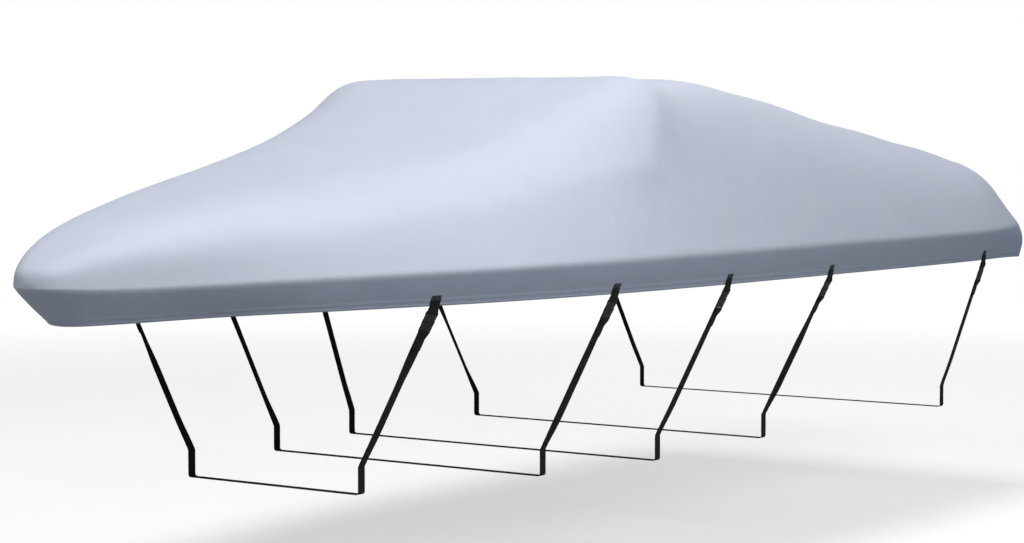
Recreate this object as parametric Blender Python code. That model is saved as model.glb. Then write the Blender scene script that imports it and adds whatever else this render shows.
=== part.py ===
"""A fitted trailering cover for a small runabout: one tailored sheet drawn over the
windscreen, decks and gunwale, and five belly straps with sewn tabs and side-release buckles.

Lengths are metres. While modelling, x runs aft from the bow tip, y to starboard and z up
from the ground; an empty then moves everything so that the origin is the point under the
middle of the windscreen top, where the boat carries the cover.
"""

import math

import bpy
import bmesh
import numpy as np
from mathutils import Vector

# ---- the sheet -----------------------------------------------------------------------
CLOTH_THICKNESS = 0.0025
SUPPORT_X = 2.50                 # middle of the windscreen top, aft of the bow tip
SUPPORT_HEIGHT = 1.905           # underside of the cloth there, above the ground

# Sheer line: the height of the gunwale, which drops a little toward the bow.
SHEER_AFT = 1.246
SHEER_BOW_DROP = 0.084
SHEER_RUN = 1.25
BOW_LIFT = 0.024                 # the tip kicks up again over the bow eye
BOW_LIFT_RUN = 0.12

# At the stern quarters the rail kicks up, and the band below it swells out over the corner.
STERN_X = 5.41
QUARTER_RUN = 0.14
QUARTER_LIFT = 0.075
QUARTER_FLARE = 0.085
QUARTER_SWELL = 0.035

# Band: the cloth below the gunwale, turned in under the rail and ending at the hem.
BAND_DEPTH_AFT = 0.135
BAND_DEPTH_BOW = 0.107
BAND_DEPTH_RUN = 2.0
BAND_TUCK_AFT = 0.030
BAND_TUCK_BOW = 0.142
BAND_TUCK_RUN = 1.5
BAND_BELLY = 0.005               # how far the band bows out between rail and hem
BAND_ROWS = 4
SPINE_BOW = 0.80                 # the band turns in toward a spine between these two
SPINE_STERN = 5.00

# Across the top, from the shoulder in to the crown.
BROW_SHARE = 0.62                # where the brow lies, as a share of the shoulder's half width
BROW_RISE_SHARE = 0.80           # its height between shoulder and crown

FACET_LENGTH = 0.15              # longest facet along the boat
STEPS_ACROSS = 3

# Sections from bow to stern, half a section each, read from the gunwale up to the crown.
# half = distance from the centreline, rise = height above the sheer line at that place.
SECTION_COLUMNS = ("crown_x", "rail_x", "rail_half", "flank_half", "flank_rise",
                   "shoulder_half", "shoulder_rise", "crown_rise")
SECTIONS = [
    (0.000, 0.000, 0.000, 0.000, 0.000, 0.000, 0.000, 0.000),
    (0.003, 0.010, 0.085, 0.078, 0.038, 0.045, 0.050, 0.055),
    (0.060, 0.090, 0.165, 0.145, 0.065, 0.095, 0.082, 0.090),
    (0.135, 0.190, 0.242, 0.210, 0.095, 0.145, 0.122, 0.135),
    (0.270, 0.350, 0.345, 0.300, 0.125, 0.205, 0.172, 0.190),
    (0.480, 0.580, 0.490, 0.415, 0.155, 0.285, 0.217, 0.243),
    (0.780, 0.860, 0.660, 0.560, 0.180, 0.390, 0.257, 0.296),
    (1.120, 1.180, 0.815, 0.700, 0.205, 0.500, 0.299, 0.346),
    (1.480, 1.500, 0.930, 0.800, 0.225, 0.590, 0.352, 0.399),
    (1.820, 1.800, 0.995, 0.860, 0.260, 0.660, 0.427, 0.464),
    (2.120, 2.050, 1.035, 0.890, 0.310, 0.715, 0.530, 0.541),
    (2.300, 2.220, 1.050, 0.890, 0.360, 0.706, 0.626, 0.615),
    (2.430, 2.360, 1.062, 0.885, 0.405, 0.765, 0.698, 0.673),
    (2.560, 2.500, 1.072, 0.880, 0.430, 0.773, 0.655, 0.677),
    (2.940, 2.920, 1.083, 0.900, 0.400, 0.700, 0.680, 0.678),
    (3.450, 3.450, 1.088, 0.925, 0.360, 0.670, 0.631, 0.651),
    (4.050, 4.050, 1.088, 0.945, 0.315, 0.660, 0.512, 0.574),
    (4.600, 4.600, 1.086, 0.955, 0.267, 0.660, 0.453, 0.514),
    (4.990, 4.980, 1.082, 0.965, 0.243, 0.682, 0.356, 0.446),
    (5.260, 5.230, 1.065, 0.945, 0.232, 0.719, 0.316, 0.419),
    (5.355, 5.340, 1.035, 0.905, 0.090, 0.680, 0.209, 0.290),
    (5.370, 5.370, 0.930, 0.680, 0.000, 0.420, 0.000, 0.000),
]

# Soft folds: ridges (height over 0) and sags (under 0) along straight lines in plan.
FOLD_COLUMNS = ("start_x", "start_y", "end_x", "end_y", "width", "height")
FOLDS = [
    (2.45, -0.72, 1.95, -1.00, 0.10, 0.006),     # strain from the port windscreen corner
    (2.45, 0.72, 1.95, 1.00, 0.10, 0.006),
    (1.70, -0.35, 1.95, 0.40, 0.20, -0.010),     # sag ahead of the windscreen
    (0.90, -0.30, 1.25, 0.25, 0.18, -0.006),     # slack over the foredeck
    (2.75, -0.35, 3.00, 0.45, 0.22, -0.010),     # slack behind the windscreen
    (3.35, -0.60, 3.70, -0.15, 0.16, -0.008),
    (3.60, 0.20, 4.20, 0.60, 0.20, -0.009),
    (4.10, -0.75, 4.60, -0.20, 0.18, -0.007),
    (4.70, -0.10, 4.85, 0.60, 0.16, -0.008),
    (5.18, -0.82, 5.24, -0.92, 0.05, 0.010),     # a cleat pushes the cloth up at the quarter
    (5.18, 0.82, 5.24, 0.92, 0.05, 0.010),
]

# ---- straps, tabs and buckles ------------------------------------------------------------
WEBBING_WIDTH = 0.038
WEBBING_THICKNESS = 0.0015
PIECE_GAP = 0.0004               # between sewn or threaded pieces
CLOTH_GAP = 0.0006               # between a tab and the band, which is faceted
RUN_HEIGHT = 0.420               # underside of the trailer rails, where the straps cross
RAIL_TOP = 0.520                 # the straps bend over the rails' upper edge here
RUN_CORNER = 0.010
BEND_EASE = 0.006                # length over which a strap turns at the rail's edge
TAB_ON_BAND = 0.046              # how far a tab is sewn up the band
TAB_BEND = 0.004                 # its layers bend this far from the hem
TAB_SLACK = 0.001                # the outer layer stands off this much at the bend
TAIL_LENGTH = 0.075              # doubled end of a strap below its buckle
TAIL_SETTLE = 0.030              # the tail lies flat on the strap from here down
LEG_SETTLE = 0.015
TWIST_CLEAR = 0.010              # the strap starts to twist this far below its tail
TWIST_SHARE = 0.3                # it twists over this share of the leg there, and again above the rail

BUCKLE_WIDTH = 0.048
BUCKLE_THICKNESS = 0.0075
BUCKLE_BAR = 0.004               # bar that the webbing loops round
BUCKLE_SLOT = 0.006
SLOT_ROOM = 0.002                # how much wider than the webbing a slot is
SLOT_CORNER = 0.001
BUCKLE_CORNER = 0.004
SOCKET_LENGTH = 0.040
PLUG_LENGTH = 0.042
BUCKLE_END_WIDTH = 0.046         # the free ends taper a little
BAR_BELOW_HEM = 0.020            # hem to the middle of the upper bar
CORNER_POINTS = 3                # points round a buckle's or a slot's corner

# One row for each belly strap: where it leaves the hem, where it crosses under the trailer,
# how far from the centreline it bends, and how many degrees its legs hang turned to the bow.
STRAP_COLUMNS = ("hem_x", "run_x", "run_half", "leg_turn")
STRAPS = [
    (1.171, 1.177, 0.400, 6.0),
    (1.935, 1.935, 0.645, 14.0),
    (2.621, 2.549, 0.760, 5.0),
    (3.410, 3.415, 0.740, 19.0),
    (4.893, 4.950, 0.825, 0.0),
]

# name: colour, roughness, metallic
MATERIALS = {
    "cloth": ((0.56, 0.59, 0.68), 0.85, 0.0),
    "webbing": ((0.012, 0.012, 0.014), 0.80, 0.0),
    "buckle": ((0.016, 0.016, 0.018), 0.45, 0.0),
}


def bow_fade(x, run):
    """1 at the bow tip, falling away aft over `run`."""
    return math.exp(-max(x, 0.0) / run)


def quarter_fade(x):
    """1 at the transom, falling away forward."""
    return math.exp(-max(STERN_X - x, 0.0) / QUARTER_RUN)


def rail_kick(x):
    """How far the rail kicks up at the tip and the quarters, which the hem doesn't follow."""
    return BOW_LIFT * bow_fade(x, BOW_LIFT_RUN) + QUARTER_LIFT * quarter_fade(x)


def sheer_height(x):
    """Height of the gunwale above the ground at x."""
    return SHEER_AFT - SHEER_BOW_DROP * bow_fade(x, SHEER_RUN) + rail_kick(x)


def unit(vector):
    vector = np.asarray(vector, dtype=float)
    return vector / np.linalg.norm(vector)


def spline(points, steps):
    """A smooth curve drawn by control points, with `steps[k]` steps along span k."""
    control = np.asarray(points, dtype=float)
    before = 2 * control[0] - control[1]
    after = 2 * control[-1] - control[-2]
    control = np.concatenate([before[None], control, after[None]])
    drawn = []
    for span, count in enumerate(steps):
        last = span == len(steps) - 1
        for step in range(count + last):
            t = step / count
            weights = ((1 - t) ** 3, 3 * t ** 3 - 6 * t ** 2 + 4,
                       -3 * t ** 3 + 3 * t ** 2 + 3 * t + 1, t ** 3)
            drawn.append(sum(weights[k] * control[span + k] for k in range(4)) / 6)
    return np.array(drawn)


# ---- the sheet ---------------------------------------------------------------------------
def control_row(section):
    """The nine control points of one section, from the port rail to the starboard rail."""
    s = dict(zip(SECTION_COLUMNS, section))
    flank_x = 0.5 * (s["rail_x"] + s["crown_x"])
    brow_rise = s["shoulder_rise"] + BROW_RISE_SHARE * (s["crown_rise"] - s["shoulder_rise"])
    half = [
        (s["rail_x"], s["rail_half"], 0.0),
        (flank_x, s["flank_half"], s["flank_rise"]),
        (s["crown_x"], s["shoulder_half"], s["shoulder_rise"]),
        (s["crown_x"], s["shoulder_half"] * BROW_SHARE, brow_rise),
    ]
    port = [(x, -y, sheer_height(x) + rise) for x, y, rise in half]
    crown = [(s["crown_x"], 0.0, sheer_height(s["crown_x"]) + s["crown_rise"])]
    starboard = [(x, -y, z) for x, y, z in reversed(port)]
    return port + crown + starboard


def fold_height(x, y):
    """How far the folds lift the cloth at a place in plan."""
    lift = 0.0
    for fold in FOLDS:
        f = dict(zip(FOLD_COLUMNS, fold))
        start = np.array([f["start_x"], f["start_y"]])
        line = np.array([f["end_x"], f["end_y"]]) - start
        offset = np.array([x, y]) - start
        share = min(max(offset @ line / (line @ line), 0.0), 1.0)
        distance = np.linalg.norm(offset - share * line)
        lift += f["height"] * math.exp(-(distance / f["width"]) ** 2)
    return lift


def top_grid():
    """Points of the sheet above the gunwale, bow to stern by port to starboard."""
    net = np.array([control_row(section) for section in SECTIONS])
    spans = np.diff([section[0] for section in SECTIONS])
    steps = [max(2, round(span / FACET_LENGTH)) for span in spans]
    rows = spline(net, steps)
    across = [STEPS_ACROSS] * (net.shape[1] - 1)
    grid = np.array([spline(row, across) for row in rows])
    for row in grid[1:-1]:
        for point in row[1:-1]:
            point[2] += fold_height(point[0], point[1])
    return grid


def rail_ring(grid):
    """Grid indices round the gunwale from the bow tip: port side, transom, starboard side."""
    rows, columns = grid.shape[:2]
    port = [(i, 0) for i in range(rows)]
    transom = [(rows - 1, j) for j in range(1, columns)]
    starboard = [(i, columns - 1) for i in range(rows - 2, 0, -1)]
    return port + transom + starboard


def band_rows(rail):
    """Rows of points below the rail points, turned in toward the boat, down to the hem."""
    rows = [[] for _ in range(BAND_ROWS)]
    for point in rail:
        spine = np.array([min(max(point[0], SPINE_BOW), SPINE_STERN), 0.0, point[2]])
        inward = unit(spine - point)
        depth_fade = bow_fade(point[0], BAND_DEPTH_RUN)
        tuck_fade = bow_fade(point[0], BAND_TUCK_RUN)
        quarter = quarter_fade(point[0])
        depth = BAND_DEPTH_AFT + (BAND_DEPTH_BOW - BAND_DEPTH_AFT) * depth_fade
        depth += rail_kick(point[0])
        tuck = BAND_TUCK_AFT + (BAND_TUCK_BOW - BAND_TUCK_AFT) * tuck_fade
        tuck -= QUARTER_FLARE * quarter
        swell = BAND_BELLY + QUARTER_SWELL * quarter
        for k, row in enumerate(rows):
            share = (k + 1) / BAND_ROWS
            belly = swell * math.sin(math.pi * share)
            drop = np.array([0.0, 0.0, -depth * share])
            row.append(point + inward * (tuck * share - belly) + drop)
    return np.array(rows)


def add_cover(grid, band):
    mesh = bmesh.new()
    tip = mesh.verts.new(grid[0, 0])
    top = [[tip] * grid.shape[1]]
    top += [[mesh.verts.new(point) for point in row] for row in grid[1:]]
    for j in range(grid.shape[1] - 1):
        mesh.faces.new((tip, top[1][j], top[1][j + 1]))
    for i in range(1, len(top) - 1):
        for j in range(grid.shape[1] - 1):
            mesh.faces.new((top[i][j], top[i + 1][j], top[i + 1][j + 1], top[i][j + 1]))
    upper = [top[i][j] for i, j in rail_ring(grid)]
    for row in band:
        lower = [mesh.verts.new(point) for point in row]
        for k in range(len(upper)):
            after = (k + 1) % len(upper)
            mesh.faces.new((upper[k], lower[k], lower[after], upper[after]))
        upper = lower
    bmesh.ops.recalc_face_normals(mesh, faces=mesh.faces)
    cover = add_object("cover_cloth", mesh, "cloth")
    cover.data.shade_smooth()
    cover.data.set_sharp_from_angle(angle=math.radians(35))
    cloth = cover.modifiers.new("cloth", "SOLIDIFY")
    cloth.thickness = CLOTH_THICKNESS
    cloth.offset = -1.0
    cloth.use_even_offset = True
    return cover


# ---- straps, tabs and buckles ------------------------------------------------------------
class Seat:
    """Where one strap leaves the hem: the hem point, the band above and the leg below."""

    def __init__(self, strap, rail_side, hem_side, above_side):
        hem_points = np.array(hem_side)
        k = int(np.searchsorted(hem_points[:, 0], strap["hem_x"])) - 1
        share = (strap["hem_x"] - hem_points[k, 0]) / (hem_points[k + 1, 0] - hem_points[k, 0])
        self.hem = hem_points[k] + share * (hem_points[k + 1] - hem_points[k])
        above = above_side[k] + share * (above_side[k + 1] - above_side[k])
        self.along = unit(hem_points[k + 1] - hem_points[k])
        self.down = unit(self.hem - above)
        self.band_out = unit(np.cross(self.along, self.down))
        if self.band_out[1] > 0:
            self.band_out = -self.band_out
        self.bend = np.array([strap["run_x"], -strap["run_half"], RAIL_TOP])
        self.leg = unit(self.bend - self.hem)
        self.width = unit(self.along - (self.along @ self.leg) * self.leg)
        self.out = unit(np.cross(self.width, self.leg))
        if self.out[1] > 0:
            self.out = -self.out
        turn = math.radians(strap["leg_turn"])
        self.turned = np.array([math.cos(turn), -math.sin(turn), 0.0])
        self.lay = CLOTH_GAP + WEBBING_THICKNESS / 2         # webbing middle off the band
        self.loop = BUCKLE_THICKNESS / 2 + PIECE_GAP + WEBBING_THICKNESS / 2
        self.bar_out = self.lay + self.loop                  # bar middle off the band's plane

    def at(self, below, outward):
        """A point `below` the hem down the leg and `outward` from its line."""
        return self.hem + self.leg * below + self.out * outward

    def on_band(self, above, outward):
        """A point `above` the hem up the band and `outward` from its face."""
        return self.hem - self.down * above + self.band_out * outward


def bar_loop(seat, below, side):
    """Webbing stations round a bar: side 1 turns under the upper bar, -1 over the lower."""
    reach = BUCKLE_BAR / 2 + PIECE_GAP + WEBBING_THICKNESS / 2
    corners = [(0.0, -1.0), (0.8, -1.0), (1.0, -0.85), (1.0, 0.85), (0.8, 1.0), (0.0, 1.0),
               (-1.0, 1.0)]
    return [(seat.at(below + side * reach * along, seat.bar_out + seat.loop * out), seat.width)
            for along, out in corners]


def add_webbing(name, stations):
    """A flat webbing swept through stations of (middle point, width direction)."""
    points = [np.asarray(point) for point, _ in stations]
    mesh = bmesh.new()
    rings = []
    for k, (point, width) in enumerate(stations):
        tangent = np.zeros(3)
        if k > 0:
            tangent += unit(points[k] - points[k - 1])
        if k < len(points) - 1:
            tangent += unit(points[k + 1] - points[k])
        side = np.asarray(width) * WEBBING_WIDTH / 2
        face = unit(np.cross(width, tangent)) * WEBBING_THICKNESS / 2
        corners = (point + side + face, point - side + face,
                   point - side - face, point + side - face)
        rings.append([mesh.verts.new(corner) for corner in corners])
    for ring, following in zip(rings, rings[1:]):
        for k in (1, 3):
            after = (k + 1) % 4
            mesh.faces.new((ring[k], ring[after], following[after], following[k]))
        # both broad faces fold along one diagonal, so that they stay apart in a twist
        mesh.faces.new((ring[0], ring[1], following[1]))
        mesh.faces.new((ring[0], following[1], following[0]))
        mesh.faces.new((ring[2], ring[3], following[2]))
        mesh.faces.new((ring[3], following[3], following[2]))
    mesh.faces.new(rings[0])
    mesh.faces.new(reversed(rings[-1]))
    bmesh.ops.recalc_face_normals(mesh, faces=mesh.faces)
    return add_object(name, mesh, "webbing")


def tab_stations(seat):
    """A tab: up from the hem against the band, round the buckle's upper bar and back."""
    outer = seat.lay + WEBBING_THICKNESS + PIECE_GAP
    inner_layer = [(seat.on_band(TAB_ON_BAND, seat.lay), seat.along),
                   (seat.on_band(TAB_BEND, seat.lay), seat.along),
                   (seat.at(TAB_BEND, seat.lay), seat.width)]
    outer_layer = [(seat.at(TAB_BEND, outer + TAB_SLACK), seat.width),
                   (seat.on_band(TAB_BEND, outer + TAB_SLACK), seat.along),
                   (seat.on_band(TAB_ON_BAND, outer), seat.along)]
    return inner_layer + bar_loop(seat, BAR_BELOW_HEM, 1) + outer_layer


def buckle_span():
    """How far below the hem the buckle starts, joins and ends, and its lower bar lies."""
    start = BAR_BELOW_HEM - BUCKLE_BAR / 2
    joint = start + SOCKET_LENGTH
    end = joint + PIECE_GAP + PLUG_LENGTH
    return start, joint, end, end - BUCKLE_BAR / 2


def half_strap_stations(seat):
    """The port half of a belly strap, from its doubled tail to the middle of the boat."""
    lower_bar = buckle_span()[3]
    tail_out = seat.lay + WEBBING_THICKNESS + PIECE_GAP
    tail = [(seat.at(lower_bar + TAIL_LENGTH, tail_out), seat.width),
            (seat.at(lower_bar + TAIL_SETTLE, tail_out), seat.width)]
    stations = tail + list(reversed(bar_loop(seat, lower_bar, -1)))
    stations.append((seat.at(lower_bar + LEG_SETTLE, seat.lay), seat.width))
    twist_start = lower_bar + TAIL_LENGTH + TWIST_CLEAR
    leg_length = np.linalg.norm(seat.bend - seat.hem)
    athwart = np.array([1.0, 0.0, 0.0])
    for share in (0.0, 0.1, 0.2, 0.3, 0.7, 0.8, 0.9, 1.0):
        below = twist_start + share * (leg_length - twist_start)
        early = min(share / TWIST_SHARE, 1.0)
        late = max((share - 1 + TWIST_SHARE) / TWIST_SHARE, 0.0)
        width = seat.width + early * (seat.turned - seat.width) + late * (athwart - seat.turned)
        width = unit(width - (width @ seat.leg) * seat.leg)
        stations.append((seat.at(below, seat.lay), width))
    bend = stations[-1][0]
    middle = RUN_HEIGHT + WEBBING_THICKNESS / 2
    stations.append((bend - np.array([0.0, 0.0, BEND_EASE]), athwart))
    for angle in (0, 30, 60, 90):
        turn = math.radians(angle)
        y = bend[1] + RUN_CORNER * (1 - math.cos(turn))
        z = middle + RUN_CORNER * (1 - math.sin(turn))
        stations.append((np.array([bend[0], y, z]), athwart))
    return stations


def mirrored(stations):
    flip = np.array([1.0, -1.0, 1.0])
    return [(point * flip, width * flip) for point, width in stations]


def rounded_outline(middle, length, start_width, end_width, radius):
    """Outline in (along, across) of a plate that tapers from one end to the other."""
    corners = [(-length / 2, start_width / 2, 90), (-length / 2, -start_width / 2, 180),
               (length / 2, -end_width / 2, 270), (length / 2, end_width / 2, 0)]
    outline = []
    for along, across, first in corners:
        centre = (along - math.copysign(radius, along), across - math.copysign(radius, across))
        for k in range(CORNER_POINTS):
            angle = math.radians(first + 90 * k / (CORNER_POINTS - 1))
            outline.append((middle + centre[0] + radius * math.cos(angle),
                            centre[1] + radius * math.sin(angle)))
    return outline


def add_buckle_half(name, seat, start, length, slot_at_start, mirror):
    """A moulded plate with one slot for the webbing at its free end."""
    widths = (BUCKLE_END_WIDTH, BUCKLE_WIDTH) if slot_at_start else (BUCKLE_WIDTH, BUCKLE_END_WIDTH)
    outer = rounded_outline(start + length / 2, length, *widths, BUCKLE_CORNER)
    edge = BUCKLE_BAR + BUCKLE_SLOT / 2
    slot_middle = start + edge if slot_at_start else start + length - edge
    slot_width = WEBBING_WIDTH + SLOT_ROOM
    slot = rounded_outline(slot_middle, BUCKLE_SLOT, slot_width, slot_width, SLOT_CORNER)
    flip = np.array([1.0, -1.0, 1.0]) if mirror else np.ones(3)
    mesh = bmesh.new()
    loops = []
    for outline, side in ((outer, -1), (outer, 1), (slot, 1), (slot, -1)):
        outward = seat.bar_out + side * BUCKLE_THICKNESS / 2
        points = [seat.at(along, outward) + seat.width * across for along, across in outline]
        loops.append([mesh.verts.new(point * flip) for point in points])
    for k in range(4):
        near, far = loops[k], loops[(k + 1) % 4]
        for i in range(len(near)):
            after = (i + 1) % len(near)
            mesh.faces.new((near[i], near[after], far[after], far[i]))
    bmesh.ops.recalc_face_normals(mesh, faces=mesh.faces)
    return add_object(name, mesh, "buckle")


def add_strap(number, strap, sides):
    """One belly strap with its two tabs and two buckles."""
    s = dict(zip(STRAP_COLUMNS, strap))
    seat = Seat(s, *sides)
    start, joint, _, _ = buckle_span()
    for side in ("port", "starboard"):
        mirror = side == "starboard"
        tab = tab_stations(seat)
        add_webbing(f"hem_tab_{side}_{number}", mirrored(tab) if mirror else tab)
        add_buckle_half(f"buckle_socket_{side}_{number}", seat, start, SOCKET_LENGTH, True, mirror)
        add_buckle_half(f"buckle_plug_{side}_{number}", seat, joint + PIECE_GAP, PLUG_LENGTH,
                        False, mirror)
    port = half_strap_stations(seat)
    add_webbing(f"belly_strap_{number}", port + list(reversed(mirrored(port))))


# ---- scene -------------------------------------------------------------------------------
def material(name):
    found = bpy.data.materials.get(name)
    if found:
        return found
    colour, roughness, metallic = MATERIALS[name]
    made = bpy.data.materials.new(name)
    made.use_nodes = True
    shader = made.node_tree.nodes["Principled BSDF"]
    shader.inputs["Base Color"].default_value = (*colour, 1.0)
    shader.inputs["Roughness"].default_value = roughness
    shader.inputs["Metallic"].default_value = metallic
    return made


def add_object(name, mesh, material_name):
    data = bpy.data.meshes.new(name)
    mesh.to_mesh(data)
    mesh.free()
    data.materials.append(material(material_name))
    made = bpy.data.objects.new(name, data)
    bpy.context.collection.objects.link(made)
    made.parent = bpy.data.objects["support_point"]
    return made


def clear_scene():
    for item in list(bpy.data.objects):
        bpy.data.objects.remove(item, do_unlink=True)


def main():
    clear_scene()
    support = bpy.data.objects.new("support_point", None)
    support.location = Vector((-SUPPORT_X, 0.0, -SUPPORT_HEIGHT))
    bpy.context.collection.objects.link(support)
    grid = top_grid()
    band = band_rows([grid[i, j] for i, j in rail_ring(grid)])
    add_cover(grid, band)
    port = slice(0, grid.shape[0])
    sides = (grid[:, 0], band[-1][port], band[-2][port])
    for number, strap in enumerate(STRAPS, start=1):
        add_strap(number, strap, sides)


main()
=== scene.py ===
import math

import bmesh
import bpy
import numpy as np
from mathutils import Euler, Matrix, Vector


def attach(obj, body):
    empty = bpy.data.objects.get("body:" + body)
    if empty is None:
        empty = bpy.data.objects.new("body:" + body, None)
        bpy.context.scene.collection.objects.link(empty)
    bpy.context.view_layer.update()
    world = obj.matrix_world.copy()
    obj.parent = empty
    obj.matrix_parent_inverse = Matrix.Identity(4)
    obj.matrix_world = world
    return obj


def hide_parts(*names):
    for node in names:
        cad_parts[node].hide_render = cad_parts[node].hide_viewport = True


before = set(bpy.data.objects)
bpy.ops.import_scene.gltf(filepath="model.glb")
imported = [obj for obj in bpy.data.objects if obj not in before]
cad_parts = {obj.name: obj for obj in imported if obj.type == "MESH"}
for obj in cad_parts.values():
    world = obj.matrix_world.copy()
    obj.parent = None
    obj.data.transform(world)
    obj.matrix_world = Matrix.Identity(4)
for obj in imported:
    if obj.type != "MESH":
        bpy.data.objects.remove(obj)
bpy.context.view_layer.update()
print("boat cover: frame loaded with", len(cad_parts), "nodes")

# Shapes are worked out from the bow tip: x aft, y to starboard, z up from the ground.
# The frame's own origin is under the middle of the windscreen top.
toFrame = np.array([-2.50, 0.0, -1.905])
mirror = np.array([1.0, -1.0, 1.0])


def unit(vector):
    vector = np.asarray(vector, dtype=float)
    return vector / np.maximum(np.linalg.norm(vector, axis=-1, keepdims=True), 1e-12)


def smoothStep(values, start, end):
    t = np.clip((np.asarray(values, dtype=float) - start) / (end - start), 0, 1)
    return t * t * (3 - 2 * t)


def swell(points, wavelength, seed, waves=9):
    # a smooth unevenness, mostly between -1 and 1, the same on every run
    chance = np.random.default_rng(seed)
    total = np.zeros(len(points))
    for _ in range(waves):
        direction = unit(chance.normal(size=3))
        length = wavelength * chance.uniform(0.7, 1.6)
        turn = chance.uniform(0, 2 * math.pi)
        total += np.sin(points @ direction * 2 * math.pi / length + turn)
    return total / math.sqrt(waves * 2)


def addMesh(name, points, faces, faceUv=None, sharpAngle=None):
    mesh = bpy.data.meshes.new(name)
    mesh.from_pydata(np.asarray(points, dtype=float).tolist(), [], [list(map(int, f)) for f in faces])
    if faceUv is not None:
        layer = mesh.uv_layers.new(name="metres")
        corners = np.array([corner for face in faceUv for corner in face], dtype=np.float32)
        layer.data.foreach_set("uv", corners.ravel())
    mesh.shade_smooth()
    if sharpAngle:
        mesh.set_sharp_from_angle(angle=math.radians(sharpAngle))
    piece = bpy.data.objects.new(name, mesh)
    bpy.context.collection.objects.link(piece)
    return piece


def pointNumbers(piece, label, values):
    # a number for each point of the mesh, which a material can read by its name
    layer = piece.data.attributes.new(label, "FLOAT", "POINT")
    layer.data.foreach_set("value", np.asarray(values, dtype=np.float32))


# The boat's lines, as the cloth follows them

sheer = dict(
    aft=1.246, bowDrop=0.084, bowRun=1.25,            # gunwale height and its fall to the bow
    tipLift=0.024, tipRun=0.12,                       # the tip kicks up over the bow eye
    quarterX=5.41, quarterRun=0.14, quarterLift=0.075,  # the rail kicks up at the transom
)

band = dict(
    depthAft=0.135, depthBow=0.107, depthRun=2.0,
    tuckAft=0.030, tuckBow=0.142, tuckRun=1.5,        # how far the band turns in
    belly=0.005, quarterFlare=0.085, quarterSwell=0.035,
    spineBow=0.80, spineStern=5.00,
)

sectionColumns = ("crownX", "railX", "railHalf", "flankHalf", "flankRise",
                  "shoulderHalf", "shoulderRise", "crownRise")
sections = [
    (0.000, 0.000, 0.000, 0.000, 0.000, 0.000, 0.000, 0.000),
    (0.003, 0.010, 0.085, 0.078, 0.038, 0.045, 0.050, 0.055),
    (0.060, 0.090, 0.165, 0.145, 0.065, 0.095, 0.082, 0.090),
    (0.135, 0.190, 0.242, 0.210, 0.095, 0.145, 0.122, 0.135),
    (0.270, 0.350, 0.345, 0.300, 0.125, 0.205, 0.172, 0.190),
    (0.480, 0.580, 0.490, 0.415, 0.155, 0.285, 0.217, 0.243),
    (0.780, 0.860, 0.660, 0.560, 0.180, 0.390, 0.257, 0.296),
    (1.120, 1.180, 0.815, 0.700, 0.205, 0.500, 0.299, 0.346),
    (1.480, 1.500, 0.930, 0.800, 0.225, 0.590, 0.352, 0.399),
    (1.820, 1.800, 0.995, 0.860, 0.260, 0.660, 0.427, 0.464),
    (2.120, 2.050, 1.035, 0.890, 0.310, 0.715, 0.530, 0.541),
    (2.300, 2.220, 1.050, 0.890, 0.360, 0.706, 0.626, 0.615),
    (2.430, 2.360, 1.062, 0.885, 0.405, 0.765, 0.698, 0.673),
    (2.560, 2.500, 1.072, 0.880, 0.430, 0.773, 0.655, 0.677),
    (2.940, 2.920, 1.083, 0.900, 0.400, 0.700, 0.680, 0.678),
    (3.450, 3.450, 1.088, 0.925, 0.360, 0.670, 0.631, 0.651),
    (4.050, 4.050, 1.088, 0.945, 0.315, 0.660, 0.512, 0.574),
    (4.600, 4.600, 1.086, 0.955, 0.267, 0.660, 0.453, 0.514),
    (4.990, 4.980, 1.082, 0.965, 0.243, 0.682, 0.356, 0.446),
    (5.260, 5.230, 1.065, 0.945, 0.232, 0.719, 0.316, 0.419),
    (5.355, 5.340, 1.035, 0.905, 0.090, 0.680, 0.209, 0.290),
    (5.370, 5.370, 0.930, 0.680, 0.000, 0.420, 0.000, 0.000),
]
browShare = 0.62          # the brow lies between the shoulder and the crown
browRiseShare = 0.80
railFade = 0.10           # folds die out this close to the gunwale

foldColumns = ("startX", "startY", "endX", "endY", "width", "height")
folds = [
    (2.45, -0.72, 1.95, -1.00, 0.10, 0.006),     # strain from the windscreen corners
    (2.45, 0.72, 1.95, 1.00, 0.10, 0.006),
    (1.70, -0.35, 1.95, 0.40, 0.20, -0.010),     # sag ahead of the windscreen
    (0.90, -0.30, 1.25, 0.25, 0.18, -0.006),     # slack over the foredeck
    (0.62, 0.08, 0.98, 0.12, 0.22, -0.008),
    (1.24, 0.05, 1.50, 0.15, 0.16, 0.005),
    (2.75, -0.35, 3.00, 0.45, 0.22, -0.010),     # slack behind the windscreen
    (3.35, -0.60, 3.70, -0.15, 0.16, -0.008),
    (3.60, 0.20, 4.20, 0.60, 0.20, -0.009),
    (4.10, -0.75, 4.60, -0.20, 0.18, -0.007),
    (4.70, -0.10, 4.85, 0.60, 0.16, -0.008),
    (5.18, -0.82, 5.24, -0.92, 0.05, 0.010),     # cleats push the cloth up at the quarters
    (5.18, 0.82, 5.24, 0.92, 0.05, 0.010),
]


def bowFade(x, run):
    return np.exp(-np.maximum(x, 0.0) / run)


def quarterFade(x):
    return np.exp(-np.maximum(sheer["quarterX"] - x, 0.0) / sheer["quarterRun"])


def railKick(x):
    return sheer["tipLift"] * bowFade(x, sheer["tipRun"]) + sheer["quarterLift"] * quarterFade(x)


def sheerHeight(x):
    return sheer["aft"] - sheer["bowDrop"] * bowFade(x, sheer["bowRun"]) + railKick(x)


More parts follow.
